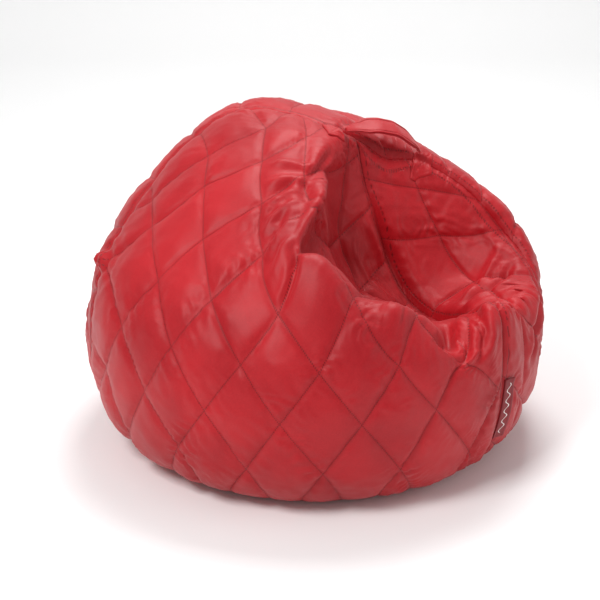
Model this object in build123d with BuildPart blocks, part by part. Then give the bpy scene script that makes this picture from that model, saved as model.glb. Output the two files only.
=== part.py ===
"""Quilted bean bag chair for a child: stitched cover panels, base with a zip, carry handle, labels, liner, beads."""

import math
import os

from build123d import *

os.makedirs("parts", exist_ok=True)

# ---- driving dimensions, millimetres; +Z is up, the seat opens toward -Y, the origin is under the middle
# outline of the filled bag: height, centre x, centre y, half width, half depth
BAG_LEVELS = [
    (0, 0, 0, 236, 234),
    (18, 0, 0, 268, 265),
    (60, 0, 0, 297, 293),
    (125, -2, -1, 310, 306),
    (190, 1, 1, 310, 308),
    (245, 4, 9, 297, 296),
    (300, 8, 26, 265, 258),
    (350, 3, 46, 211, 208),
    (395, -12, 66, 142, 150),
    (425, -30, 80, 76, 88),
    (438, -36, 86, 30, 36),
]
# the hollow pressed into the bag by sitting: height, centre x, centre y, half width, half depth
SEAT_LEVELS = [
    (210, 104, -108, 40, 30),
    (221, 100, -122, 84, 64),
    (235, 94, -146, 124, 98),
    (252, 90, -168, 164, 130),
    (293, 100, -190, 205, 160),
    (328, 105, -203, 197, 188),
    (358, 110, -222, 192, 220),
    (400, 120, -266, 190, 278),
    (460, 128, -340, 200, 372),
]
RIM = 26  # softness of the arms and back edge around the hollow
PIT = (104, -108)  # deepest point of the hollow seen from above
SPOKES = 32
WALL_RINGS = 15
SEAT_RINGS = 9
QUILT = 6.5  # quilted fabric: face cloth, wadding and backing stitched as one
BASE_CLOTH = 0.8
HEM = 0.8  # base cloth turned under along the zip
LINER_FLOOR = 8.0  # the liner rides above the zip
LINER_GAP = 7.5
LINER_CLOTH = 0.6
FILL_GAP = 8.4
FILL_FLOOR = 9.0

# ridge seam seen from above: left side, over the top behind the seat, down the right arm
RIDGE_SEAM = [(-345, 8), (-180, 66), (-38, 74), (60, 14), (160, -22), (238, -104), (300, -215)]
# seat seam seen from above: front right of the base, through the hollow, to the left end of the handle
SEAT_SEAM = [(185, -345), (153, -265), (149, -200), (137, -140), (112, -80), (84, -30), (46, 40)]

# zip in the base, along X
ZIP_LENGTH = 340
SLOT_HALF = 5.6  # opening in the base cloth either side of the zip line
TAPE_IN = 1.2
TAPE_OUT = 17
TAPE_Z = BASE_CLOTH + HEM
TAPE_T = 0.6
TOOTH_PITCH = 4
TEETH = 80
TEETH_H = 1.6
SLIDER_X = 150

# carry handle: the two sewn ends on the ridge, the rise of the strap between them
HANDLE_LEFT = Vector(32, -2, 417)
HANDLE_RIGHT = Vector(150, -6, 375)
STRAP_W = 34
STRAP_T = 4
STRAP_RISE = 30
LABEL_W = 17
LABEL_H = 88


def level_at(levels, z):
    """Outline of one height, read smoothly between the given levels."""
    i = max(k for k in range(len(levels) - 1) if levels[k][0] <= z + 1e-9)
    before, low, high, after = levels[max(i - 1, 0)], levels[i], levels[i + 1], levels[min(i + 2, len(levels) - 1)]
    span = high[0] - low[0]
    t = (z - low[0]) / span
    found = []
    for k in range(1, 5):
        slope_low = (high[k] - before[k]) / (high[0] - before[0]) * span
        slope_high = (after[k] - low[k]) / (after[0] - low[0]) * span
        bend = (2 * t**3 - 3 * t**2 + 1) * low[k] + (t**3 - 2 * t**2 + t) * slope_low
        found.append(bend + (3 * t**2 - 2 * t**3) * high[k] + (t**3 - t**2) * slope_high)
    return found


def reach(levels, z, turn):
    """Near and far distance from the pit to the outline of a height in one direction."""
    cx, cy, rx, ry = level_at(levels, z)
    px, py = (PIT[0] - cx) / rx, (PIT[1] - cy) / ry
    dx, dy = math.cos(turn) / rx, math.sin(turn) / ry
    a = dx * dx + dy * dy
    b = px * dx + py * dy
    root = b * b - a * (px * px + py * py - 1)
    if root < 0:
        return None
    return (-b - math.sqrt(root)) / a, (-b + math.sqrt(root)) / a


def evenly(path, step):
    """The same path with points an even distance apart."""
    walk = [0.0]
    for p, q in zip(path, path[1:]):
        walk.append(walk[-1] + math.dist(p, q))
    count = max(round(walk[-1] / step), 4)
    spaced = []
    i = 0
    for k in range(count + 1):
        goal = walk[-1] * k / count
        while i < len(walk) - 2 and walk[i + 1] < goal:
            i += 1
        t = (goal - walk[i]) / max(walk[i + 1] - walk[i], 1e-9)
        spaced.append([path[i][j] + t * (path[i + 1][j] - path[i][j]) for j in range(2)])
    return spaced


def softened(path, width):
    """Rounds the corners of a path, its two ends stay."""
    soft = []
    for i in range(len(path)):
        w = min(width, i, len(path) - 1 - i)
        near = path[i - w : i + w + 1]
        soft.append([sum(p[j] for p in near) / len(near) for j in range(2)])
    return soft


def point_at(path, share):
    """Point a given share of the way along an evenly spaced path."""
    place = share * (len(path) - 1)
    i = min(int(place), len(path) - 2)
    return [path[i][j] + (place - i) * (path[i + 1][j] - path[i][j]) for j in range(2)]


def spoke(turn, inset, floor):
    """Section of the bag from the base edge, over the rim, down to the pit: rings of (distance, height)."""
    top = BAG_LEVELS[-1][0]
    pit_z = SEAT_LEVELS[0][0]
    heights = [top * k / 220 for k in range(221)]
    far = [(reach(BAG_LEVELS, z, turn), z) for z in heights]
    far = [(r, z) for r, z in far if r is not None and r[1] > 0]
    path = [(r[1], z) for r, z in far] + [(r[0], z) for r, z in reversed(far)]
    wall = []
    for r, z in path:
        if z > pit_z and r < reach(SEAT_LEVELS, z, turn)[1]:
            break
        wall.append((r, z))
    drop = [z for z in heights if pit_z < z < wall[-1][1]]
    seat = [(reach(SEAT_LEVELS, z, turn)[1], z) for z in reversed(drop)]
    seat.append((reach(SEAT_LEVELS, pit_z, turn)[1], pit_z))
    seat.append((24.0, pit_z))
    wall = evenly(wall, 3)
    path = wall + evenly(seat, 3)[1:]
    edge = len(wall) - 1
    for width in (RIM // 4, RIM // 5, RIM // 6):
        path = softened(path, width)
    moved = []
    for i, (r, z) in enumerate(path):
        p, q = path[max(i - 1, 0)], path[min(i + 1, len(path) - 1)]
        length = math.dist(p, q)
        moved.append([r + inset * (p[1] - q[1]) / length, z + inset * (q[0] - p[0]) / length])
    moved = [p for k, p in enumerate(moved) if k > edge // 2 or p[1] > floor + 1]
    lost = len(path) - len(moved)
    moved.insert(0, [moved[0][0] - 2, floor])
    edge = edge - lost + 1
    wall, seat = moved[: edge + 1], moved[edge:]
    rings = [point_at(wall, k / WALL_RINGS) for k in range(WALL_RINGS)]
    rings += [point_at(seat, k / SEAT_RINGS) for k in range(SEAT_RINGS + 1)]
    rings[0][1] = floor
    rings[-1][1] = pit_z - inset
    return rings


def bag_body(inset, floor):
    """Closed body of the bag, a given distance inside its outer skin."""
    turns = [2 * math.pi * k / SPOKES for k in range(SPOKES)]
    spokes = [spoke(turn, inset, floor) for turn in turns]
    wires = []
    for k in range(WALL_RINGS + SEAT_RINGS + 1):
        loop = []
        for turn, rings in zip(turns, spokes):
            r, z = rings[k]
            loop.append((PIT[0] + r * math.cos(turn), PIT[1] + r * math.sin(turn), z))
        wires.append(Wire([Edge.make_spline(loop, periodic=True)]))
    with BuildPart() as body:
        add(Solid.make_loft(wires))
        with Locations((0, 0, floor)):
            Box(800, 800, 40, align=(Align.CENTER, Align.CENTER, Align.MAX), mode=Mode.SUBTRACT)
    return body


def piece(build, name):
    """Writes one separate piece under its own name."""
    build.part.label = name
    export_step(build.part, f"parts/{name}.step")


# ---- bag bodies that the cloth pieces are cut from
outer = bag_body(0, 0)
inner = bag_body(QUILT, BASE_CLOTH)
liner_out = bag_body(LINER_GAP, LINER_FLOOR)
liner_in = bag_body(LINER_GAP + LINER_CLOTH, LINER_FLOOR + LINER_CLOTH)
fill = bag_body(FILL_GAP, FILL_FLOOR)

with BuildPart() as quilt_shell:
    add(outer.part)
    add(inner.part, mode=Mode.SUBTRACT)
    Box(800, 800, 2 * BASE_CLOTH, mode=Mode.SUBTRACT)

# in front of the ridge seam
with BuildPart() as front_side:
    with BuildSketch():
        with BuildLine():
            Spline(RIDGE_SEAM)
            Polyline(RIDGE_SEAM[-1], (420, -260), (420, -420), (-420, -420), (-420, 8), RIDGE_SEAM[0])
        make_face()
    extrude(amount=500)

# to the right of the seat seam
with BuildPart() as right_side:
    with BuildSketch():
        with BuildLine():
            Spline(SEAT_SEAM)
            Polyline(SEAT_SEAM[-1], (430, 120), (430, -430), (200, -430), SEAT_SEAM[0])
        make_face()
    extrude(amount=500)

# ---- quilted panels of the cover
with BuildPart() as back_panel:
    add(quilt_shell.part)
    add(front_side.part, mode=Mode.SUBTRACT)
piece(back_panel, "back_panel")

with BuildPart() as front_right_panel:
    add(quilt_shell.part)
    add(front_side.part, mode=Mode.INTERSECT)
    add(right_side.part, mode=Mode.INTERSECT)
piece(front_right_panel, "front_right_panel")

with BuildPart() as front_left_panel:
    add(quilt_shell.part)
    add(front_side.part, mode=Mode.INTERSECT)
    add(right_side.part, mode=Mode.SUBTRACT)
piece(front_left_panel, "front_left_panel")

# ---- base: two half rounds of plain cloth, joined at the ends, the zip between them
with BuildPart() as base_round:
    add(outer.part)
    Box(800, 800, 2 * BASE_CLOTH, mode=Mode.INTERSECT)
    Box(ZIP_LENGTH - 8, 2 * SLOT_HALF, 4, mode=Mode.SUBTRACT)
    for side in (-1, 1):
        with Locations((0, side * (SLOT_HALF + 7), BASE_CLOTH)):
            Box(ZIP_LENGTH - 8, 14, HEM, align=(Align.CENTER, Align.CENTER, Align.MIN))

with BuildPart() as base_front:
    add(base_round.part)
    with Locations((0, 0, -5)):
        Box(800, 400, 20, align=(Align.CENTER, Align.MIN, Align.MIN), mode=Mode.SUBTRACT)
piece(base_front, "base_front")

with BuildPart() as base_rear:
    add(base_round.part)
    with Locations((0, 0, -5)):
        Box(800, 400, 20, align=(Align.CENTER, Align.MAX, Align.MIN), mode=Mode.SUBTRACT)
piece(base_rear, "base_rear")

# ---- zip: woven tape and a row of teeth on each side
for side, end in ((-1, "front"), (1, "rear")):
    with BuildPart() as zip_tape:
        with Locations((0, side * (TAPE_IN + TAPE_OUT) / 2, TAPE_Z)):
            Box(ZIP_LENGTH, TAPE_OUT - TAPE_IN, TAPE_T, align=(Align.CENTER, Align.CENTER, Align.MIN))
    piece(zip_tape, f"zip_tape_{end}")

    with BuildPart() as zip_teeth:
        with BuildSketch(Plane.XY.offset(TAPE_Z + TAPE_T)):
            with Locations((0, side * 2.05)):
                Rectangle(TEETH * TOOTH_PITCH, 1.1)
            with Locations((side * TOOTH_PITCH / 4, side * 1.15)):
                with GridLocations(TOOTH_PITCH, 0, TEETH - 1, 1):
                    Rectangle(TOOTH_PITCH / 2, 0.9)
        extrude(amount=TEETH_H)
    piece(zip_teeth, f"zip_teeth_{end}")

for place, end in ((1, "start"), (-1, "end")):
    with BuildPart() as zip_stop:
        with Locations((place * 163.5, 0, TAPE_Z + TAPE_T)):
            Box(3, 7, 1.8, align=(Align.CENTER, Align.CENTER, Align.MIN))
        chamfer(zip_stop.edges().group_by(Axis.Z)[-1], 0.4)
    piece(zip_stop, f"zip_stop_{end}")

# slider without a pull tab, so a child can't open the cover
with BuildPart() as zip_slider:
    with Locations((SLIDER_X, 0, 0.3)):
        Box(10, 9.2, 0.9, align=(Align.CENTER, Align.CENTER, Align.MIN))
    with Locations((SLIDER_X, 0, 1.2)):
        Box(3, 0.8, 3, align=(Align.CENTER, Align.CENTER, Align.MIN))
    with Locations((SLIDER_X, 0, 4.2)):
        Box(10, 9.2, 1, align=(Align.CENTER, Align.CENTER, Align.MIN))
    for side in (-1, 1):
        with Locations((SLIDER_X, side * 3.8, 2.6)):
            Box(10, 1.6, 1.6, align=(Align.CENTER, Align.CENTER, Align.MIN))
    fillet(zip_slider.edges().filter_by(Axis.Z).group_by(SortBy.LENGTH)[0], 0.3)
piece(zip_slider, "zip_slider")

# ---- carry handle: a folded strap between two box-stitched ends on the ridge
skin_3 = bag_body(-3, 0)
along = (HANDLE_RIGHT - HANDLE_LEFT).normalized()
lift = Vector(0, -0.35, 1)
lift = (lift - along * lift.dot(along)).normalized()
span = (HANDLE_RIGHT - HANDLE_LEFT).length
for spot, end, shift in ((HANDLE_LEFT, "left", -8), (HANDLE_RIGHT, "right", 8)):
    with BuildPart() as handle_end:
        add(skin_3.part)
        add(outer.part, mode=Mode.SUBTRACT)
        with BuildSketch(Plane(spot + along * shift - lift * 40, x_dir=along, z_dir=lift), mode=Mode.PRIVATE) as foot:
            RectangleRounded(26, STRAP_W - 4, 3)
        extrude(foot.sketch, amount=80, mode=Mode.INTERSECT)
    piece(handle_end, f"handle_end_{end}")

strap_plane = Plane((HANDLE_LEFT + HANDLE_RIGHT) * 0.5, x_dir=along, z_dir=along.cross(lift))
foot_up = 9.0
with BuildPart() as handle_strap:
    with BuildSketch(strap_plane):
        with BuildLine() as arch:
            ThreePointArc((-span / 2, foot_up), (0, foot_up + STRAP_RISE), (span / 2, foot_up))
        make_hull(arch.edges())
        with BuildLine() as under:
            ThreePointArc((-span / 2, foot_up - STRAP_T), (0, foot_up + STRAP_RISE - STRAP_T), (span / 2, foot_up - STRAP_T))
        make_hull(under.edges(), mode=Mode.SUBTRACT)
    extrude(amount=STRAP_W / 2, both=True)
    with BuildSketch(Plane(strap_plane.origin, x_dir=along, z_dir=lift), mode=Mode.PRIVATE) as plan:
        with BuildLine():
            narrow, wide, full = 6, STRAP_W / 2, span / 2
            Polyline(
                (-full, -narrow),
                (-full, narrow),
                (-full + 26, wide),
                (full - 26, wide),
                (full, narrow),
                (full, -narrow),
                (full - 26, -wide),
                (-full + 26, -wide),
                close=True,
            )
        make_face()
    extrude(plan.sketch, amount=80, mode=Mode.INTERSECT)
piece(handle_strap, "handle_strap")

# ---- woven label caught in the seat seam
label_turn = math.radians(-60)
skin_a = bag_body(-0.6, 0)
skin_b = bag_body(-1.4, 0)
out = Vector(math.cos(label_turn), math.sin(label_turn), 0)
side_way = Vector(-out.Y, out.X, 0)
with BuildPart() as side_label:
    add(skin_b.part)
    add(skin_a.part, mode=Mode.SUBTRACT)
    with BuildSketch(Plane(out * 200 + Vector(0, 0, 109), x_dir=side_way, z_dir=out), mode=Mode.PRIVATE) as tab:
        with Locations((LABEL_W / 2 + 1, 0)):
            Rectangle(LABEL_W, LABEL_H)
    extrude(tab.sketch, amount=200, mode=Mode.INTERSECT)
piece(side_label, "side_label")

with BuildPart() as care_label:
    with Locations((70, 60, BASE_CLOTH)):
        Box(36, 60, 0.5, align=(Align.CENTER, Align.CENTER, Align.MIN))
piece(care_label, "care_label")

# ---- inner bag and the beads in it
with BuildPart() as inner_liner:
    add(liner_out.part)
    add(liner_in.part, mode=Mode.SUBTRACT)
piece(inner_liner, "inner_liner")
piece(fill, "bead_fill")
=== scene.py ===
import math

import bmesh
import bpy
import numpy as np
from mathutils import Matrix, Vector, noise
from mathutils.bvhtree import BVHTree


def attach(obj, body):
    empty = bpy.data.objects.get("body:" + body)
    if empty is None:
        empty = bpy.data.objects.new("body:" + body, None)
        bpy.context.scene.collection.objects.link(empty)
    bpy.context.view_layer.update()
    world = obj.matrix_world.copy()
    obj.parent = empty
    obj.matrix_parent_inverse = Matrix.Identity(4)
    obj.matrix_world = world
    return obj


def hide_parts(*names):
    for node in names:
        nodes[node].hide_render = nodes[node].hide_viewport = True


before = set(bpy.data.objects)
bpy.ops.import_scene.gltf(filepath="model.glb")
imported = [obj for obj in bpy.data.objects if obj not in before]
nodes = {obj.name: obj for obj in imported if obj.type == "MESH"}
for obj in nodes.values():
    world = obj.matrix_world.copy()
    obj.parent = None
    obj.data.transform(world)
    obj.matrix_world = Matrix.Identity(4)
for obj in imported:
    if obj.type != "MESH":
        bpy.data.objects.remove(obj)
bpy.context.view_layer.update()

# ---- quilted cover
# Face cloth, wadding and backing are quilted together in diamonds, then cut and sewn into three panels.
# Filled, they make a squat heap that is higher on one side, with a hollow pressed in by sitting.
# Sizes of the pieces are in millimetres until a mesh is made from them, which is in metres.
mm = 0.001

# Outlines of the wall and of the hollow: height, centre x, centre y, half width, half depth.
bag_levels = np.array([
    (0, 0, 0, 236, 234), (18, 0, 0, 268, 265), (60, 0, 0, 297, 293), (125, -2, -1, 310, 306),
    (190, 1, 1, 310, 308), (245, 4, 9, 297, 296), (300, 8, 26, 265, 258), (350, 3, 46, 211, 208),
    (395, -12, 66, 142, 150), (425, -30, 80, 76, 88), (438, -36, 86, 30, 36)], float)
seat_levels = np.array([
    (210, 104, -108, 40, 30), (221, 100, -122, 84, 64), (235, 94, -146, 124, 98),
    (252, 90, -168, 164, 130), (293, 100, -190, 205, 160), (328, 105, -203, 197, 188),
    (358, 110, -222, 192, 220), (400, 120, -266, 190, 278), (460, 128, -340, 200, 372)], float)
pit = np.array((104.0, -108.0))  # middle of the hollow, where the spokes of the skin start
pit_height, bag_height = 210, 438


def reach(levels, z, turn):
    """Near and far distance from the pit to the outline at each height, in one direction."""
    z = np.asarray(z, float)
    i = np.clip(np.searchsorted(levels[:, 0], z, side="right") - 1, 0, len(levels) - 2)
    before, low, high = levels[np.maximum(i - 1, 0)], levels[i], levels[i + 1]
    after = levels[np.minimum(i + 2, len(levels) - 1)]
    span = high[:, :1] - low[:, :1]
    t = (z[:, None] - low[:, :1]) / span
    slope_low = (high - before) / (high[:, :1] - before[:, :1]) * span
    slope_high = (after - low) / (after[:, :1] - low[:, :1]) * span
    found = (2 * t**3 - 3 * t**2 + 1) * low + (t**3 - 2 * t**2 + t) * slope_low
    found = found + (3 * t**2 - 2 * t**3) * high + (t**3 - t**2) * slope_high
    cx, cy, rx, ry = found[:, 1:].T
    px, py = (pit[0] - cx) / rx, (pit[1] - cy) / ry
    dx, dy = math.cos(turn) / rx, math.sin(turn) / ry
    a, b = dx * dx + dy * dy, px * dx + py * dy
    root = b * b - a * (px * px + py * py - 1)
    root = np.sqrt(np.where(root < 0, np.nan, root))
    return (-b - root) / a, (-b + root) / a


def spaced(path, count):
    """The same path as evenly spaced points."""
    walk = np.concatenate([[0], np.cumsum(np.hypot(*np.diff(path, axis=0).T))])
    goal = np.linspace(0, walk[-1], count)
    return np.stack([np.interp(goal, walk, path[:, 0]), np.interp(goal, walk, path[:, 1])], 1)


def spoke(turn, wall_count, seat_count):
    """Section of the bag from the base edge over the rim and down to the pit."""
    heights = np.linspace(0, bag_height, 221)
    near, far = reach(bag_levels, heights, turn)
    ok = np.isfinite(far) & (far > 0)
    up = np.stack([far, heights], 1)[ok]
    path = spaced(np.vstack([up, np.stack([near, heights], 1)[ok][::-1]]), 900)
    seat_r = reach(seat_levels, np.maximum(path[:, 1], pit_height), turn)[1]
    cut = (path[:, 1] > pit_height) & (path[:, 0] < seat_r)
    wall = path[: np.argmax(cut)]
    drop = heights[(heights > pit_height) & (heights < wall[-1, 1])][::-1]
    seat = np.stack([reach(seat_levels, drop, turn)[1], drop], 1)
    pit_edge = reach(seat_levels, [float(pit_height)], turn)[1][0]
    seat = np.vstack([seat, [[pit_edge, pit_height], [0.5, pit_height]]])
    wall = spaced(wall, int(round(np.hypot(*np.diff(wall, axis=0).T).sum() / 3)) + 1)
    seat = spaced(seat, int(round(np.hypot(*np.diff(seat, axis=0).T).sum() / 3)) + 1)
    edge = len(wall) - 1
    path = np.vstack([wall, seat[1:]])
    # Three running averages round off the rim.
    for width in (6, 5, 4):
        run = np.cumsum(np.vstack([[0, 0], path]), 0)
        i = np.arange(len(path))
        w = np.minimum(width, np.minimum(i, len(path) - 1 - i))
        path = (run[i + w + 1] - run[i - w]) / (2 * w + 1)[:, None]
    path[:, 1] = np.maximum(path[:, 1], 0.0)
    return np.vstack([spaced(path[: edge + 1], wall_count), spaced(path[edge:], seat_count)[1:]])


# Each table gives the place where two quilting lines cross, by the numbers of the lines.
front_crossings = {
    (0, 0): (-136, -233, 264), (1, 0): (-102, -284, 209), (2, 0): (-54, -304, 142), (3, 0): (2, -295, 68),
    (0, 1): (-185, -237, 214), (1, 1): (-148, -272, 145), (2, 1): (-95, -281, 72), (0, 2): (-225, -215, 150),
    (1, 2): (-180, -237, 71), (0, 3): (-248, -176, 88),
    (-1, 3): (-281, -135, 148), (-1, 4): (-287, -70, 59),
    (-1, 2): (-251, -164, 217), (-2, 3): (-292, -77, 215),
    (-2, 4): (-308, -50, 150), (-1, 1): (-200, -170, 275),
    (-2, 1): (-188, -95, 328), (-3, 1): (-162, -22, 374), (-4, 1): (-143, 23, 398), (-2, 2): (-246, -96, 279),
    (-3, 2): (-231, -9, 323), (-4, 2): (-218, 36, 340), (-3, 3): (-283, 49, 258), (-4, 3): (-266, 93, 272),
    (-1, 0): (-129, -166, 320), (-2, 0): (-109, -102, 366), (-3, 0): (-88, -38, 404), (-4, 0): (-62, 19, 428),
    (1, -1): (-45, -255, 265), (2, -1): (-5, -301, 211), (3, -1): (44, -305, 147), (4, -1): (107, -274, 65),
    (2, -2): (21, -274, 243), (3, -2): (85, -287, 218), (4, -2): (144, -273, 147), (3, -3): (120, -200, 226),
    (0, -1): (-92, -190, 303), (0, -2): (0, -150, 238), (-1, -2): (-20, -80, 300)}
right_crossings = {
    (0, 0): (67, -9, 355), (0, 1): (81, -34, 275), (0, 2): (124, -111, 210), (1, 0): (143, -16, 334),
    (1, 1): (165, -44, 274), (1, 2): (189, -101, 227), (1, 3): (186, -228, 226), (2, 0): (217, -48, 316),
    (2, 1): (239, -77, 284), (2, 2): (255, -146, 239), (1, 4): (205, -240, 110), (2, 3): (262, -170, 120),
    (1, 5): (180, -160, 5), (0, 3): (125, -232, 232), (2, 4): (236, -80, 5)}


def line_numbers(points, crossings):
    """Both quilting line numbers at each point, and how fast they change, by smooth interpolation."""
    scale, stiffness = 300, 0.02
    known = np.array(list(crossings.values()), float)
    value = np.array(list(crossings.keys()), float)
    n = len(known)
    gap = np.linalg.norm(known[:, None] - known[None], axis=-1)
    border = np.hstack([np.ones((n, 1)), known / scale])
    system = np.zeros((n + 4, n + 4))
    system[:n, :n] = gap / scale - stiffness * np.eye(n)
    system[:n, n:] = border
    system[n:, :n] = border.T
    weight = np.linalg.solve(system, np.vstack([value, np.zeros((4, 2))]))
    number = np.hstack([np.ones((len(points), 1)), points / scale]) @ weight[n:]
    slope = np.repeat((weight[n + 1 :].T / scale)[None], len(points), 0)
    for i in range(n):
        away = points - known[i]
        r = np.linalg.norm(away, axis=1)[:, None] + 1e-6
        number += r / scale * weight[i]
        slope += weight[i][None, :, None] * (away / r / scale)[:, None, :]
    return number, slope


def curve_through(points, step=2.0):
    """Smooth curve through the points, closely sampled."""
    points = np.array(points, float)
    ends = np.vstack([2 * points[0] - points[1], points, 2 * points[-1] - points[-2]])
    out = []
    for i in range(1, len(ends) - 2):
        p0, p1, p2, p3 = ends[i - 1 : i + 3]
        t = np.linspace(0, 1, max(int(np.linalg.norm(p2 - p1) / step), 2), endpoint=False)[:, None]
        out.append(0.5 * (2 * p1 + (p2 - p0) * t + (2 * p0 - 5 * p1 + 4 * p2 - p3) * t**2
                          + (3 * p1 - p0 - 3 * p2 + p3) * t**3))
    return np.vstack(out + [points[-1:]])


def from_curve(points, curve):
    """Distance to a curve, the side of it seen from above, and how far along it, in millimetres."""
    best = np.full(len(points), 1e9)
    at = np.zeros(len(points), int)
    for start in range(0, len(points), 4000):
        part = points[start : start + 4000, : curve.shape[1]]
        d = np.linalg.norm(part[:, None] - curve[None], axis=-1)
        at[start : start + 4000] = d.argmin(1)
        best[start : start + 4000] = d.min(1)
    ahead = np.gradient(curve, axis=0)[at]
    away = points[:, : curve.shape[1]] - curve[at]
    side = np.sign(ahead[:, 0] * away[:, 1] - ahead[:, 1] * away[:, 0])
    along = np.concatenate([[0], np.cumsum(np.linalg.norm(np.diff(curve, axis=0), axis=1))])[at]
    return best, side, along


# Seams as seen from above: one over the ridge, one from the ridge down through the hollow to the front.
ridge_seam = curve_through([
    (-350, -8), (-285, 40), (-180, 92), (-80, 98), (-22, 62), (30, 14), (95, 4), (150, 0),
    (200, -30), (245, -85), (268, -145), (310, -215)])
seat_seam = curve_through([
    (185, -335), (153, -268), (149, -200), (140, -145), (118, -90), (92, -40), (66, -8), (46, 40)])


def grow(at, normal, curve, depth, width, fade=0.25, lip=0.0):
    """Push for one fold: a crease where depth is positive, a raised pucker where it is negative."""
    line = curve_through([tuple(base_tree.find_nearest(Vector(p))[0]) for p in curve])
    low, high = line.min(0) - 3 * width - 12, line.max(0) + 3 * width + 12
    near = np.nonzero(((at > low) & (at < high)).all(1))[0]
    out = np.zeros(len(at))
    if not len(near):
        return out
    d, side, along = from_curve(at[near], line)
    whole = along.max() + 1e-6
    ends = np.clip(np.minimum(along, whole - along) / (fade * whole + 1e-6), 0, 1)
    ends = ends * ends * (3 - 2 * ends)
    tip = np.where((along <= 0) | (along >= whole), 0, 1)
    push = -depth * np.exp(-((d / width) ** 2))
    push += lip * np.exp(-(((d - 1.9 * width) / width) ** 2))
    out[near] = push * ends * tip
    return out


# The smooth skin is sampled once; the panels are cut from it along their seams.
spoke_count, wall_count, seat_count = 480, 130, 84
turns = np.linspace(0, 2 * math.pi, spoke_count, endpoint=False)
rows = np.array([spoke(t, wall_count, seat_count)[:-1] for t in turns])
place = np.stack([pit[0] + rows[..., 0] * np.cos(turns)[:, None],
                  pit[1] + rows[..., 0] * np.sin(turns)[:, None], rows[..., 1]], -1)
around = np.roll(place, -1, 0) - np.roll(place, 1, 0)
inward = np.gradient(place, axis=1)
out_way = np.cross(around, inward)
out_way /= np.linalg.norm(out_way, axis=-1)[..., None]
climb = np.cumsum(np.linalg.norm(np.diff(place, axis=1, prepend=place[:, :1]), axis=-1), 1).ravel()
rings = place.shape[1]
place, out_way = place.reshape(-1, 3), out_way.reshape(-1, 3)

# Grid vertices beside a seam are moved onto it, so that each panel ends exactly on its seam line.
own = np.arange(len(place)).reshape(spoke_count, rings)
beside = np.roll(own, -1, 0)
quads = np.stack([own[:, :-1], beside[:, :-1], beside[:, 1:], own[:, 1:]], -1).reshape(-1, 4)
links = np.vstack([np.stack([own, beside], -1).reshape(-1, 2),
                   np.stack([own[:, :-1], own[:, 1:]], -1).reshape(-1, 2)])
ridge_d, side, ridge_along = from_curve(place, ridge_seam)
ridge_f = ridge_d * side
seat_d, side, seat_along = from_curve(place, seat_seam)
seat_f = seat_d * side


def snap(field, frozen, allowed):
    """Move vertices along grid edges until no edge crosses the seam."""
    crossing = links[(field[links[:, 0]] * field[links[:, 1]] < 0) & allowed[links].all(1)]
    for a, b in crossing:
        if field[a] * field[b] >= 0:
            continue
        t = field[a] / (field[a] - field[b])
        first, second, step = (a, b, t) if t < 0.5 else (b, a, 1 - t)
        if frozen[first] and not frozen[second]:
            first, second, step = second, first, 1 - step
        if not frozen[first]:
            place[first] += (place[second] - place[first]) * step
        field[first] = 0


snap(ridge_f, np.zeros(len(place), bool), np.ones(len(place), bool))
snap(seat_f, ridge_f == 0, ridge_f <= 0)
ridge_d, seat_d = np.abs(ridge_f), np.abs(seat_f)


def mound(x, y, z, wide, deep, high):
    """Soft weight around one point of the skin."""
    x, y, z = (place[:, 0] - x) / wide, (place[:, 1] - y) / deep, (place[:, 2] - z) / high
    return np.exp(-(x * x + y * y + z * z))


# Sitting pushes the pit deeper and heaps the beads into the left arm and over the front edge.
ring = np.tile(np.arange(rings), spoke_count)
in_seat = np.clip((ring - wall_count + 8) / 12, 0, 1)
in_seat = in_seat * in_seat * (3 - 2 * in_seat)
settled = np.zeros((len(place), 3))
# the pit
settled[:, 2] -= 30 * mound(104, -128, 215, 58, 62, 90) * in_seat
# the left arm and its knuckle over the front edge
settled[:, 2] += 72 * mound(-66, -216, 290, 48, 48, 62) + 24 * mound(4, -252, 258, 40, 40, 45)
settled[:, 2] += 46 * mound(-52, -172, 306, 38, 44, 70)
# the inner side of the left arm leans over the hollow
settled += (mound(-52, -122, 290, 52, 62, 70) * in_seat)[:, None] * np.array((44, -10, 26))
# the front edge rises beside the seat seam and dips left of it
settled[:, 2] += 20 * mound(150, -250, 222, 34, 40, 40) - 36 * mound(84, -262, 228, 30, 40, 34)
in_back = ridge_f > 0

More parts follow.
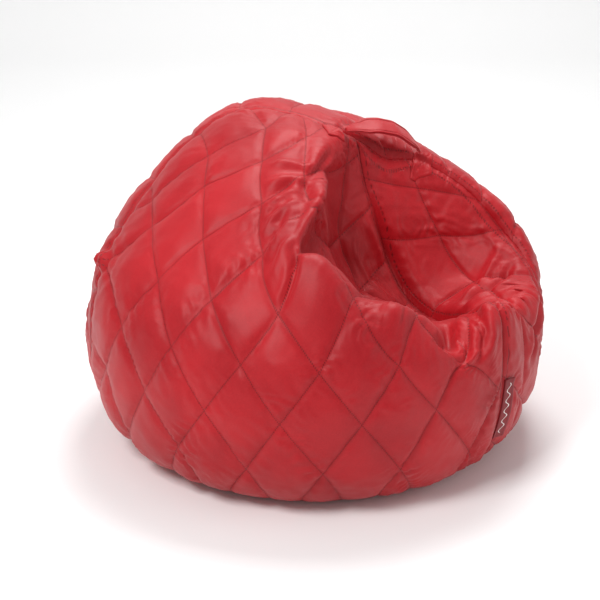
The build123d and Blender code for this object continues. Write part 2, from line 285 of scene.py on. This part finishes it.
# Raised cells between the stitched lines, with small puckers gathered along each line.
cell_height, cell_shoulder = 5.6, 15
line_depth, line_width = 2.2, 3.2
pucker_height, pucker_reach, pucker_spacing = 1.25, 9, 19.0
back_cell_across, back_cell_up, back_line_gap = 118, 152, 96.0
front_gap_widest, front_gap_narrowest = 260, 45
numbers = {}
rise = np.zeros(len(place))
rough = np.array([noise.noise(Vector(p) * 0.035) for p in place])
rough_2 = np.array([noise.noise(Vector(p) * 0.011 + Vector((7, 3, 1))) for p in place])
fine = np.array([noise.noise(Vector(p) * 0.09 + Vector((2, 9, 4))) for p in place])
for which, crossings, wide in (
    ("front_left", front_crossings, (ridge_f <= 0) & (seat_f >= 0)),
    ("front_right", right_crossings, (ridge_f <= 0) & (seat_f <= 0)),
    ("back", None, ridge_f >= 0)):
    points, way = place[wide], out_way[wide]
    if crossings is None:
        u = 650 * np.arctan2(points[:, 0] + 12, points[:, 1] + 500)
        v = climb[wide]
        across, up = u / back_cell_across, v / back_cell_up
        number = np.stack([across + up, up - across], 1)
        size = np.full((len(points), 2), back_line_gap)
    else:
        number, slope = line_numbers(points, crossings)
        flat = slope - (slope * way[:, None, :]).sum(-1)[..., None] * way[:, None, :]
        size = 1 / np.clip(np.linalg.norm(flat, axis=-1), 1 / front_gap_widest, 1 / front_gap_narrowest)
    away = np.abs(number - np.round(number)) * size
    other = number[:, ::-1] * size[:, ::-1]
    puff = (1 - np.exp(-away[:, 0] / cell_shoulder)) * (1 - np.exp(-away[:, 1] / cell_shoulder))
    height = cell_height * puff - line_depth * np.exp(-((away / line_width) ** 2)).max(1)
    wander = 5.0 * rough[wide] + 4.0 * rough_2[wide]
    for k in (0, 1):
        strength = np.clip(0.3 + 1.5 * rough_2[wide] + 0.9 * rough[wide], 0, 1.4)
        pucker = np.sin(2 * math.pi * other[:, k] / pucker_spacing + 1.6 * wander * (k + 0.6))
        near = away[:, k] / pucker_reach
        height += pucker_height * strength * pucker * near * np.exp(1 - near) * 0.8
    rise[wide] = height
    full = np.zeros((len(place), 4))
    full[wide] = np.hstack([number, size])
    numbers[which] = full
rise += 1.8 * rough + 2.6 * rough_2 + 0.5 * fine

# Seams pull the cells down to a groove.
seam_shoulder, seam_depth, seam_width, gather_height, gather_reach = 11, 3.2, 4.0, 1.3, 8
seam_d = np.minimum(ridge_d, np.where(in_back, 1e3, seat_d))
flatten = 1 - np.exp(-seam_d / seam_shoulder)
rise = rise * flatten - seam_depth * np.exp(-((seam_d / seam_width) ** 2))
rise += gather_height * fine * (seam_d / gather_reach) * np.exp(1 - seam_d / gather_reach)

base_tree = BVHTree.FromPolygons([Vector(p) for p in place], quads.tolist())
# Each fold: its line, depth (below nought for a raised pucker), width, share that fades out, and lip.
folds = [
    # deep crease where the arm of the hollow folds over the seat, from the handle down
    ([(10, -30, 406), (-18, -60, 394), (-55, -98, 376), (-72, -130, 355), (-90, -178, 328),
      (-105, -218, 293), (-118, -226, 280), (-136, -233, 264)], 5, 5, 0.1, 2),
    # puckers that run into that crease
    ([(-92, -52, 401), (-62, -62, 399), (-36, -70, 393), (-22, -66, 394)], -5.5, 7, 0.3, 0),
    ([(-104, -86, 384), (-76, -84, 389), (-52, -90, 385), (-40, -88, 384)], -5.5, 7, 0.3, 0),
    ([(-118, -118, 360), (-92, -110, 372), (-70, -108, 374), (-60, -108, 372)], -5.5, 7, 0.3, 0),
    ([(-128, -150, 338), (-104, -136, 355), (-84, -130, 360), (-72, -128, 357)], -5.5, 7, 0.3, 0),
    ([(-132, -182, 312), (-112, -170, 335), (-94, -158, 343), (-82, -152, 342)], -5.5, 7, 0.3, 0),
    ([(-134, -206, 290), (-118, -198, 315), (-104, -190, 322), (-92, -184, 322)], -4, 6, 0.3, 0),
    # narrow crinkled band on the seat side of the crease
    ([(-8, -70, 388), (-38, -104, 366), (-56, -136, 344), (-68, -170, 322)], -7, 8, 0.25, 0),
    # groove along the seat seam
    ([(150, -200, 222), (140, -150, 214), (122, -108, 210), (108, -72, 222), (96, -48, 250),
      (82, -30, 290), (70, -16, 330)], 9, 9, 0.2, 3),
    # folds that fan out over the right of the seat
    ([(150, -132, 214), (176, -124, 220), (206, -112, 238), (232, -96, 268)], -7, 8, 0.3, 0),
    ([(150, -150, 214), (182, -158, 218), (214, -158, 232), (240, -150, 252)], -7, 8, 0.3, 0),
    ([(146, -142, 212), (180, -141, 217), (212, -136, 234), (238, -124, 262)], 6, 6, 0.3, 2),
    ([(152, -172, 216), (182, -184, 219), (210, -190, 226), (232, -188, 236)], 6, 6, 0.3, 2),
    # puckers at the bottom of the hollow, left of the seam
    ([(40, -70, 290), (62, -84, 252), (84, -100, 224)], -6, 7, 0.3, 0),
    ([(20, -96, 272), (50, -104, 240), (80, -112, 218)], -6, 7, 0.3, 0),
    ([(10, -128, 254), (44, -128, 230), (80, -124, 214)], -6, 7, 0.3, 0),
    ([(30, -84, 280), (56, -94, 246), (82, -106, 220)], 6, 5, 0.3, 2),
    ([(14, -112, 262), (46, -116, 234), (80, -118, 216)], 6, 5, 0.3, 2),
    ([(60, -46, 322), (78, -60, 268), (96, -84, 228)], -5, 6, 0.3, 0),
    # the knuckle of the left arm and the creases over the front edge
    ([(-30, -262, 262), (2, -272, 250), (34, -262, 238), (60, -236, 230)], -9, 13, 0.3, 0),
    ([(36, -286, 222), (62, -272, 228), (84, -248, 226), (96, -214, 220)], 8, 8, 0.3, 3),
    ([(96, -282, 196), (112, -268, 214), (124, -240, 224), (130, -206, 222)], 7, 7, 0.3, 3),
    ([(70, -288, 206), (92, -280, 212), (112, -268, 212)], -5, 7, 0.3, 0),
    # creases below the right arm
    ([(262, -146, 236), (246, -180, 212), (226, -209, 188), (212, -226, 140)], 7, 8, 0.25, 3),
    ([(205, -60, 300), (232, -92, 262), (250, -128, 240)], -4, 8, 0.3, 0),
]
for line, depth, width, fade, lip in folds:
    rise += grow(place, out_way, line, depth, width, fade, lip)

# Stiff seam corner that sticks out on the far side.
corner = np.linalg.norm(place - np.array((-284, 42, 262)), axis=1)
rise += 13 * np.exp(-((corner / 17) ** 2)) + 3 * np.exp(-((corner / 40) ** 2)) * np.sin(corner / 4)
# The cells flatten out towards the floor and under the side label.
rise *= np.clip((place[:, 2] - 1) / 30, 0, 1)
for spot in ((160, -258, 80), (160, -258, 109), (160, -258, 138)):
    rise *= 1 - 0.9 * mound(*spot, 15, 15, 24)
smooth = place + settled
bent = smooth.reshape(spoke_count, rings, 3)
plain_way = out_way
out_way = np.cross(np.roll(bent, -1, 0) - np.roll(bent, 1, 0), np.gradient(bent, axis=1)).reshape(-1, 3)
out_way /= np.linalg.norm(out_way, axis=1)[:, None]
shaped = smooth + out_way * rise[:, None]
shaped[:, 2] = np.maximum(shaped[:, 2], 0.2)

wadding = 6.5
inner = smooth + out_way * (np.minimum(rise, 0) - wadding)[:, None]
inner[:, 2] = np.maximum(inner[:, 2], 1.0)


def finished(name, mesh):
    """Object in the scene made from a mesh, which is used up."""
    data = bpy.data.meshes.new(name)
    mesh.to_mesh(data)
    mesh.free()
    data.shade_smooth()
    made = bpy.data.objects.new(name, data)
    bpy.context.scene.collection.objects.link(made)
    return made


def panel(name, kind, sides):
    """One quilted panel of the cover, closed behind by its lining side."""
    seam_far = 400  # past this the distance to a seam no longer matters
    faces = quads.tolist()
    for field, way in sides:
        value = (field * way).tolist()
        cut = []
        for face in faces:
            ring = [v for v in face if value[v] >= 0]
            # A face that the seam crosses from corner to corner leaves a triangle.
            if len(ring) == len(face) or (len(ring) == 3 and max(value[v] for v in ring) > 0):
                cut.append(ring)
        faces = cut
    used = sorted({v for face in faces for v in face})
    mesh = bmesh.new()
    top = {v: mesh.verts.new(Vector(shaped[v]) * mm) for v in used}
    low = {v: mesh.verts.new(Vector(inner[v]) * mm) for v in used}
    for face in faces:
        mesh.faces.new([top[v] for v in face])
    open_edges = [e for e in mesh.edges if len(e.link_faces) == 1]
    pairs = [(e.link_loops[0].vert, e.link_loops[0].link_loop_next.vert) for e in open_edges]
    for face in faces:
        mesh.faces.new([low[v] for v in reversed(face)])
    below = {top[v]: low[v] for v in used}
    for a, b in pairs:
        mesh.faces.new((b, a, below[a], below[b]))
    mesh.verts.index_update()
    made = finished(name, mesh)
    full = numbers[kind][used]
    no_seam = np.full(len(ridge_d), float(seam_far))
    seam = np.stack([
        np.minimum(ridge_d, seam_far), np.minimum(seat_d, seam_far) if kind != "back" else no_seam,
        np.where(ridge_d < seat_d, ridge_along, seat_along)], 1)[used]
    for label, values in (("quilt", np.c_[full[:, :2], np.zeros(len(used))]),
                          ("quilt_size", np.c_[full[:, 2:], np.zeros(len(used))]), ("seam", seam)):
        layer = made.data.attributes.new(label, "FLOAT_VECTOR", "POINT")
        layer.data.foreach_set("vector", np.vstack([values, values]).astype(np.float32).ravel())
    return made


def wire(material, kind, **inputs):
    """Add a shader node with its inputs set or linked, and return the node."""
    tree = material.node_tree
    node = tree.nodes.new(kind)
    for key, value in inputs.items():
        if key in ("operation", "blend_type", "attribute_name", "data_type", "color_ramp", "wave_type"):
            setattr(node, key, value)
            continue
        numbered = key[0] == "i" and key[1:].isdigit()
        socket = node.inputs[int(key[1:]) if numbered else key.replace("_", " ")]
        if isinstance(value, bpy.types.NodeSocket):
            tree.links.new(value, socket)
        else:
            socket.default_value = value
    return node


def calc(material, operation, a, b=0.0, c=0.0):
    """Output of a shader maths node."""
    return wire(material, "ShaderNodeMath", operation=operation, i0=a, i1=b, i2=c).outputs[0]


def soft_step(material, value, low, high):
    """Smooth change from 0 to 1 as the value goes from low to high."""
    node = wire(material, "ShaderNodeMapRange", i0=value, i1=low, i2=high, i3=0.0, i4=1.0)
    node.interpolation_type = "SMOOTHSTEP"
    return node.outputs[0]


def cloth(name, colour, deep, weave=0.9, sheen=0.1):
    """Woven polyester: uneven colour, a fine weave and a soft sheen."""
    made = bpy.data.materials.new(name)
    made.use_nodes = True
    shader = made.node_tree.nodes["Principled BSDF"]
    spot = wire(made, "ShaderNodeTexCoord").outputs["Object"]
    patch = wire(made, "ShaderNodeTexNoise", Vector=spot, Scale=9.0, Detail=3.0, Roughness=0.55).outputs[0]
    slub = wire(made, "ShaderNodeTexNoise", Vector=spot, Scale=420.0, Detail=2.0, Roughness=0.6).outputs[0]
    mix = wire(made, "ShaderNodeMix", data_type="RGBA")
    amount = calc(made, "ADD", calc(made, "MULTIPLY", patch, 0.9), calc(made, "MULTIPLY", slub, 0.35))
    made.node_tree.links.new(soft_step(made, amount, 0.35, 0.9), mix.inputs["Factor"])
    mix.inputs[6].default_value = (*deep, 1)
    mix.inputs[7].default_value = (*colour, 1)
    made.node_tree.links.new(mix.outputs[2], shader.inputs["Base Color"])
    shader.inputs["Roughness"].default_value = 0.48
    shader.inputs["Specular IOR Level"].default_value = 0.3
    shader.inputs["Sheen Weight"].default_value = sheen
    shader.inputs["Sheen Roughness"].default_value = 0.45
    shader.inputs["Sheen Tint"].default_value = (1.0, 0.72, 0.72, 1)
    split = wire(made, "ShaderNodeSeparateXYZ", i0=spot)
    turns_per_metre = 2 * math.pi / (weave * mm)
    threads = [calc(made, "SINE", calc(made, "MULTIPLY", calc(made, "ADD", a, b), turns_per_metre))
               for a, b in ((split.outputs[0], split.outputs[2]), (split.outputs[1], split.outputs[2]))]
    bumps = calc(made, "ADD", calc(made, "MULTIPLY", calc(made, "MULTIPLY", *threads), 0.5), slub)
    bump = wire(made, "ShaderNodeBump", Strength=0.12, Distance=0.0006, Height=bumps)
    made.node_tree.links.new(bump.outputs[0], shader.inputs["Normal"])
    return made, shader, mix, bump


quilted, shader, mix, bump = cloth("quilted_cloth", (0.46, 0.008, 0.014), (0.33, 0.002, 0.007))


def parts_of(material, attribute):
    """The three numbers of a mesh attribute, as shader outputs."""
    held = wire(material, "ShaderNodeAttribute", attribute_name=attribute).outputs["Vector"]
    return wire(material, "ShaderNodeSeparateXYZ", i0=held).outputs


def dashes(material, along, rate):
    """Mask of a row of stitches, by how far along the row."""
    wave = calc(material, "SINE", calc(material, "MULTIPLY", along, rate))
    return soft_step(material, wave, -0.25, 0.35)


# Stitches show as darker, sunken dashes: one row on each quilting line, and one on each side of a seam.
cell_side, quilt_stitch, seam_stitch, seam_row = 125, 4.2, 3.6, 6.0
lines, sizes, seams = (parts_of(quilted, held) for held in ("quilt", "quilt_size", "seam"))
marks = []
for k in (0, 1):
    number = lines[k]
    off_line = calc(quilted, "ABSOLUTE", calc(quilted, "SUBTRACT", number, calc(quilted, "ROUND", number)))
    away = calc(quilted, "MULTIPLY", off_line, sizes[k])
    run = calc(quilted, "MULTIPLY", lines[1 - k], cell_side / quilt_stitch)
    dash = dashes(quilted, run, 2 * math.pi)
    marks.append(calc(quilted, "MULTIPLY", soft_step(quilted, away, 1.25, 0.45), dash))
for k in (0, 1):
    away = calc(quilted, "ABSOLUTE", calc(quilted, "SUBTRACT", seams[k], seam_row))
    dash = dashes(quilted, seams[2], 2 * math.pi / seam_stitch)
    marks.append(calc(quilted, "MULTIPLY", soft_step(quilted, away, 1.1, 0.4), dash))
quilting, seaming = (calc(quilted, "MAXIMUM", *pair) for pair in (marks[:2], marks[2:]))
mark = calc(quilted, "MAXIMUM", quilting, seaming)
stitched = wire(quilted, "ShaderNodeMix", data_type="RGBA")
thread_strength = 0.6
quilted.node_tree.links.new(calc(quilted, "MULTIPLY", mark, thread_strength), stitched.inputs["Factor"])
quilted.node_tree.links.new(mix.outputs[2], stitched.inputs[6])
stitched.inputs[7].default_value = (0.10, 0.0005, 0.002, 1)
quilted.node_tree.links.new(stitched.outputs[2], shader.inputs["Base Color"])
sunk = calc(quilted, "MULTIPLY", mark, -1.0)
dent = wire(quilted, "ShaderNodeBump", Strength=0.6, Distance=0.0012, Height=sunk)
quilted.node_tree.links.new(bump.outputs[0], dent.inputs["Normal"])
quilted.node_tree.links.new(dent.outputs[0], shader.inputs["Normal"])

for name, kind, node_name, sides in (
    ("front_left_cover", "front_left", "front_left_panel", ((ridge_f, -1), (seat_f, 1))),
    ("front_right_cover", "front_right", "front_right_panel", ((ridge_f, -1), (seat_f, -1))),
    ("back_cover", "back", "back_panel", ((ridge_f, 1),)),
):
    made = panel(name, kind, sides)
    made.data.materials.append(quilted)
    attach(made, "bag")
    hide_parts(node_name)

# ---- sewn base
# Two halves of plain cloth close the bag underneath and are stretched flat by the weight of the beads.
# They meet at the zip, which is sewn between their hems.
base_cloth, *rest = cloth("base_cloth", (0.36, 0.003, 0.006), (0.27, 0.001, 0.004))
for name in ("base_front", "base_rear"):
    nodes[name].data.materials.clear()
    nodes[name].data.materials.append(base_cloth)

# ---- zip
# Nylon teeth on woven tape, with a metal slider that has no pull tab and two moulded stops.
zip_tape, *rest = cloth("zip_tape", (0.32, 0.003, 0.006), (0.24, 0.001, 0.004))


def plain(name, colour, roughness=0.5, metallic=0.0):
    """Smooth finish of one colour."""
    made = bpy.data.materials.new(name)
    made.use_nodes = True
    surface = made.node_tree.nodes["Principled BSDF"].inputs
    surface["Base Color"].default_value = (*colour, 1)
    surface["Roughness"].default_value = roughness
    surface["Metallic"].default_value = metallic
    return made


zip_plastic = plain("zip_plastic", (0.28, 0.002, 0.005), roughness=0.35)
zip_metal = plain("zip_metal", (0.62, 0.62, 0.64), roughness=0.3, metallic=1.0)
for name, finish in (
    ("zip_tape_front", zip_tape), ("zip_tape_rear", zip_tape),
    ("zip_teeth_front", zip_plastic), ("zip_teeth_rear", zip_plastic),
    ("zip_stop_start", zip_plastic), ("zip_stop_end", zip_plastic), ("zip_slider", zip_metal),
):
    nodes[name].data.materials.clear()
    nodes[name].data.materials.append(finish)

# ---- carry handle
# A folded strap of the cover cloth, topstitched along both edges and box-stitched to the ridge seam.
# It stands in a low arch and swings about its two sewn ends.
strap_cloth, *rest = cloth("strap_cloth", (0.48, 0.009, 0.015), (0.36, 0.003, 0.008))
handle_left, handle_right = Vector((32, -2, 417)), Vector((150, -6, 375))
along = (handle_right - handle_left).normalized()
lift = Vector((0, -0.35, 1))
lift = (lift - along * lift.dot(along)).normalized()
sideways = lift.cross(along)
middle, half_span = (handle_left + handle_right) / 2, (handle_right - handle_left).length / 2 - 6
foot_up, arch_rise, half_width = 9.5, 22.0, 17.0
end_half_width, taper = 4.5, 26
stitch_row, last_station = 0.76, 72


def strap_width(t):
    """Half the width of the strap at t, which goes from -1 at one end to 1 at the other."""
    return end_half_width + (half_width - end_half_width) * min((1 - abs(t)) * half_span / taper, 1)


mesh = bmesh.new()
stations = []
for step in range(last_station + 1):
    t = step / 36 - 1
    w = strap_width(t)
    crown = foot_up + arch_rise * (1 - t * t) + 0.7 * noise.noise(Vector((t * 4, 0, 0)))
    # The top is a little padded between the two rows of stitching, which lie in grooves.
    top_row = []
    for u in np.linspace(0.97, -0.97, 29):
        padded = 0.9 * (1 - (u * 1.25) ** 2 if abs(u) < 0.8 else 0)
        groove = 0.5 * math.exp(-(((abs(u) - stitch_row) * w / 0.9) ** 2))
        top_row.append((u, 4.0 + padded - groove))
    section = [(-1, 1.2), (-0.98, 0.2), (0.96, 0.0), (0.99, 0.8), (1.0, 2.0), (0.99, 3.4)] + top_row
    section += [(-1.0, 3.4), (-0.99, 2.6), (0.8, 2.4), (0.8, 1.9), (-0.99, 1.8)]
    ring = []
    for u, h in section:
        sag = 0.8 * noise.noise(Vector((t * 3, u, 5)))
        spot = middle + along * (t * half_span) + sideways * (u * w) + lift * (crown - 4 + h + sag)
        ring.append(mesh.verts.new(spot * mm))
    stations.append(ring)
count = len(stations[0])
for a, b in zip(stations, stations[1:]):
    for k in range(count):
        mesh.faces.new((a[k], a[(k + 1) % count], b[(k + 1) % count], b[k]))
mesh.faces.new(stations[0][::-1])
mesh.faces.new(stations[-1])
bmesh.ops.recalc_face_normals(mesh, faces=mesh.faces)
# Each stitch is a tiny bead of thread, stretched along the strap.
stitch_radius, stitch_stretch = 0.55 * mm, 1.9
for row in (-stitch_row, stitch_row):
    for step in range(3, last_station - 3):
        a, b = [middle + along * (x * half_span) for x in (step / 36 - 1 + 0.004, step / 36 - 1 + 0.024)]
        t = step / 36 - 1
        up = lift * (foot_up + arch_rise * (1 - t * t) + 0.15) + sideways * (row * strap_width(t))
        made = bmesh.ops.create_icosphere(mesh, subdivisions=1, radius=stitch_radius)["verts"]
        for v in made:
            lengthways = v.co @ along
            v.co = lengthways * along * stitch_stretch + v.co - lengthways * along + ((a + b) / 2 + up) * mm
strap = finished("handle_strap_cloth", mesh)
strap.data.materials.append(strap_cloth)
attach(strap, "strap")
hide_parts("handle_strap")

# ---- handle patches
# A small patch of the strap cloth under each end of the handle, sewn round its edge and across its corners.
# It lies on the cover and takes the pull of the strap.
patch_half_length, patch_half_width = 13, 15
hem, patch_height, patch_rise = 3, 2.6, 0.5
skin_tree = BVHTree.FromPolygons([Vector(p) for p in shaped], quads.tolist())


def close_sheet(mesh, sides):
    """Faces of a thin sheet from the grids of vertices on its two sides, with its border closed."""
    for side in sides:
        for p, q in zip(side, side[1:]):
            for k in range(len(p) - 1):
                mesh.faces.new((p[k], q[k], q[k + 1], p[k + 1]))
    low, high = [side[0] + [row[-1] for row in side[1:]] + side[-1][-2::-1]
                 + [row[0] for row in side[-2:0:-1]] for side in sides]
    for k in range(len(low)):
        n = (k + 1) % len(low)
        mesh.faces.new((low[k], low[n], high[n], high[k]))
    bmesh.ops.recalc_face_normals(mesh, faces=mesh.faces)


for end, root, shift in (("left", handle_left, -8), ("right", handle_right, 8)):
    mesh = bmesh.new()
    sides = []
    for layer in (0, 1):
        side = []
        for a in np.linspace(-patch_half_length, patch_half_length, 27):
            row = []
            for b in np.linspace(-patch_half_width, patch_half_width, 31):
                start = root + along * (shift + a) + sideways * b + lift * 50
                hit = skin_tree.ray_cast(start, -lift)[0] or root
                edge = min(patch_half_length - abs(a), patch_half_width - abs(b))
                cross = (abs(a / patch_half_length) - abs(b / patch_half_width)) * 9
                seam = math.exp(-(((edge - hem) / 0.9) ** 2)) + math.exp(-((cross / 0.9) ** 2)) * (edge > hem)
                top = patch_height * (1 - math.exp(-(edge + 0.4) / 0.8)) - 0.7 * min(seam, 1)
                row.append(mesh.verts.new((hit + lift * (top + patch_rise if layer else 0.1)) * mm))
            side.append(row)
        sides.append(side)
    close_sheet(mesh, sides)
    patch = finished("handle_patch_" + end, mesh)
    patch.data.materials.append(strap_cloth)
    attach(patch, "bag")
    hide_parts("handle_end_" + end)

# ---- side label
# A woven ribbon tab caught in the seam beside the seat, free to fold flat against the bag.
label_tape, *rest = cloth("label_tape", (0.24, 0.003, 0.008), (0.18, 0.002, 0.006))
shader, mix = rest[0], rest[1]
ribbon_width, ribbon_foot, ribbon_top = 17, 65, 153
zigzag_turn, zigzag_swing, zigzag_middle, zigzag_half_length = 0.42, 3.2, 9.0, 37.0
spot = parts_of(label_tape, "ribbon")
wave = calc(label_tape, "SINE", calc(label_tape, "MULTIPLY", spot[1], zigzag_turn))
swing = calc(label_tape, "MULTIPLY", wave, zigzag_swing)
off_middle = calc(label_tape, "SUBTRACT", spot[0], zigzag_middle)
away = calc(label_tape, "ABSOLUTE", calc(label_tape, "SUBTRACT", off_middle, swing))
from_middle = calc(label_tape, "ABSOLUTE", calc(label_tape, "SUBTRACT", spot[1], 44.0))
band = calc(label_tape, "LESS_THAN", from_middle, zigzag_half_length)
woven = wire(label_tape, "ShaderNodeMix", data_type="RGBA")
thread = calc(label_tape, "MULTIPLY", soft_step(label_tape, away, 1.0, 0.5), band)
label_tape.node_tree.links.new(thread, woven.inputs["Factor"])
label_tape.node_tree.links.new(mix.outputs[2], woven.inputs[6])
woven.inputs[7].default_value = (0.80, 0.74, 0.72, 1)
label_tape.node_tree.links.new(woven.outputs[2], shader.inputs["Base Color"])
facing, beside_seam = Vector((0.5, -0.866, 0)), Vector((0.866, 0.5, 0))
mesh = bmesh.new()
sides = []
for layer in (0, 1):
    side = []
    for z in np.linspace(ribbon_foot, ribbon_top, 45):
        row = []
        for u in np.linspace(0, ribbon_width, 10):
            start = facing * 420 + beside_seam * (u + 1) + Vector((0, 0, z))
            hit = skin_tree.ray_cast(start, -facing)[0]
            curl = 1.0 + 3.0 * (u / ribbon_width) ** 2 + 0.6 * math.sin(z / 13) * u / ribbon_width
            row.append(mesh.verts.new((hit + facing * (curl + 0.8 * layer)) * mm))
        side.append(row)
    sides.append(side)
close_sheet(mesh, sides)
ribbon = finished("side_label_ribbon", mesh)
layer = ribbon.data.attributes.new("ribbon", "FLOAT_VECTOR", "POINT")
spots = [(u, z - ribbon_foot, 0) for side in (0, 1)
         for z in np.linspace(ribbon_foot, ribbon_top, 45) for u in np.linspace(0, ribbon_width, 10)]
layer.data.foreach_set("vector", np.array(spots, np.float32).ravel())
ribbon.data.materials.append(label_tape)
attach(ribbon, "label")
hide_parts("side_label")

# ---- care label
# A small tape label that lies flat against the rear half of the base.
care_tape, *rest = cloth("care_tape", (0.86, 0.86, 0.84), (0.78, 0.78, 0.76), sheen=0.1)
nodes["care_label"].data.materials.clear()
nodes["care_label"].data.materials.append(care_tape)

# ---- lining bag and beads
# The beads sit in an inner bag of thin non-woven cloth that lies loose inside the cover.
# Each shell is the smooth skin moved inward; the bag has two of them, its outer and inner side.
liner_cloth, *rest = cloth("liner_cloth", (0.82, 0.82, 0.80), (0.74, 0.74, 0.72), sheen=0.1)
beads = plain("beads", (0.9, 0.9, 0.9))
follow_down, follow_up = 1.15, 0.4  # how far the lining follows the settled skin
for name, node_name, finish, slot_name, depths, floors in (
    ("lining_bag", "inner_liner", liner_cloth, "liner_cloth", (8.2, 8.8), (8.0, 8.6)),
    ("beads", "bead_fill", beads, "beads", (9.8,), (9.2,)),
):
    mesh = bmesh.new()
    for way, (depth, floor) in enumerate(zip(depths, floors)):
        points = place + np.where(settled[:, 2:] < 0, follow_down, follow_up) * settled
        points -= plain_way * (depth + np.maximum(-rise, 0))[:, None]
        points[:, 2] -= 10 * np.clip((points[:, 2] - 270) / 60, 0, 1)
        points[:, 2] = np.maximum(points[:, 2], floor)
        points = points.reshape(spoke_count, rings, 3)[::4, ::2]
        grid = [[mesh.verts.new(Vector(p) * mm) for p in row] for row in points]
        for row, following in zip(grid, grid[1:] + grid[:1]):
            for k in range(len(row) - 1):
                ring = (row[k], following[k], following[k + 1], row[k + 1])
                mesh.faces.new(ring if way == 0 else ring[::-1])
        caps = [row[0] for row in reversed(grid)], [row[-1] for row in grid]
        for cap in caps:
            mesh.faces.new(cap if way == 0 else cap[::-1])
    made = finished(name, mesh)
    made.data.materials.append(finish)
    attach(made, "bag")
    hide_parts(node_name)

# ---- floor, backdrop, lights and camera
# A plain pale floor curves up behind the bag, under three soft lamps and a white sky. All in metres.
sweep = bmesh.new()
rail = [(-3.2, 0.0), (1.6, 0.0), (2.1, 0.06), (2.5, 0.3), (2.7, 0.8), (2.7, 3.2)]
ahead = Vector((0.342, 0.940, 0.0))
across = Vector((0.940, -0.342, 0.0))
below_base = 0.0004
strips = [[sweep.verts.new(ahead * d + across * w + Vector((0, 0, h - below_base))) for d, h in rail]
          for w in (-5.0, 5.0)]
for a, b, c, d in zip(strips[0], strips[1], strips[1][1:], strips[0][1:]):
    sweep.faces.new((a, b, c, d))
studio_floor = finished("studio_floor", sweep)
studio_floor.data.materials.append(plain("studio_white", (0.93, 0.93, 0.93), roughness=0.9))

bpy.context.scene.view_settings.view_transform = "Standard"
world = bpy.data.worlds.new("studio")
bpy.context.scene.world = world
world.use_nodes = True
sky = world.node_tree.nodes["Background"].inputs
sky["Color"].default_value = (1, 1, 1, 1)
sky["Strength"].default_value = 0.42
for name, spot, aim, size, power in (
    ("key", (-1.6, -1.0, 2.2), (0, 0, 0.2), 0.9, 46),
    ("fill", (1.9, -1.4, 1.2), (0, 0, 0.2), 1.4, 9),
    ("top", (0.5, 0.7, 2.4), (0, 0, 0.3), 1.0, 40),
):
    lamp = bpy.data.lights.new(name, "AREA")
    lamp.size = size
    lamp.energy = power
    lit = bpy.data.objects.new(name, lamp)
    lit.location = spot
    lit.rotation_euler = (Vector(aim) - Vector(spot)).to_track_quat("-Z", "Y").to_euler()
    bpy.context.scene.collection.objects.link(lit)

lens = bpy.data.cameras.new("camera")
lens.lens = 85
lens.sensor_width = 36
camera = bpy.data.objects.new("camera", lens)
camera.location = (-0.64228, -1.70182, 0.91719)
camera.rotation_euler = Vector((0.31712, 0.87127, -0.37461)).to_track_quat("-Z", "Y").to_euler()
bpy.context.scene.collection.objects.link(camera)
bpy.context.scene.camera = camera
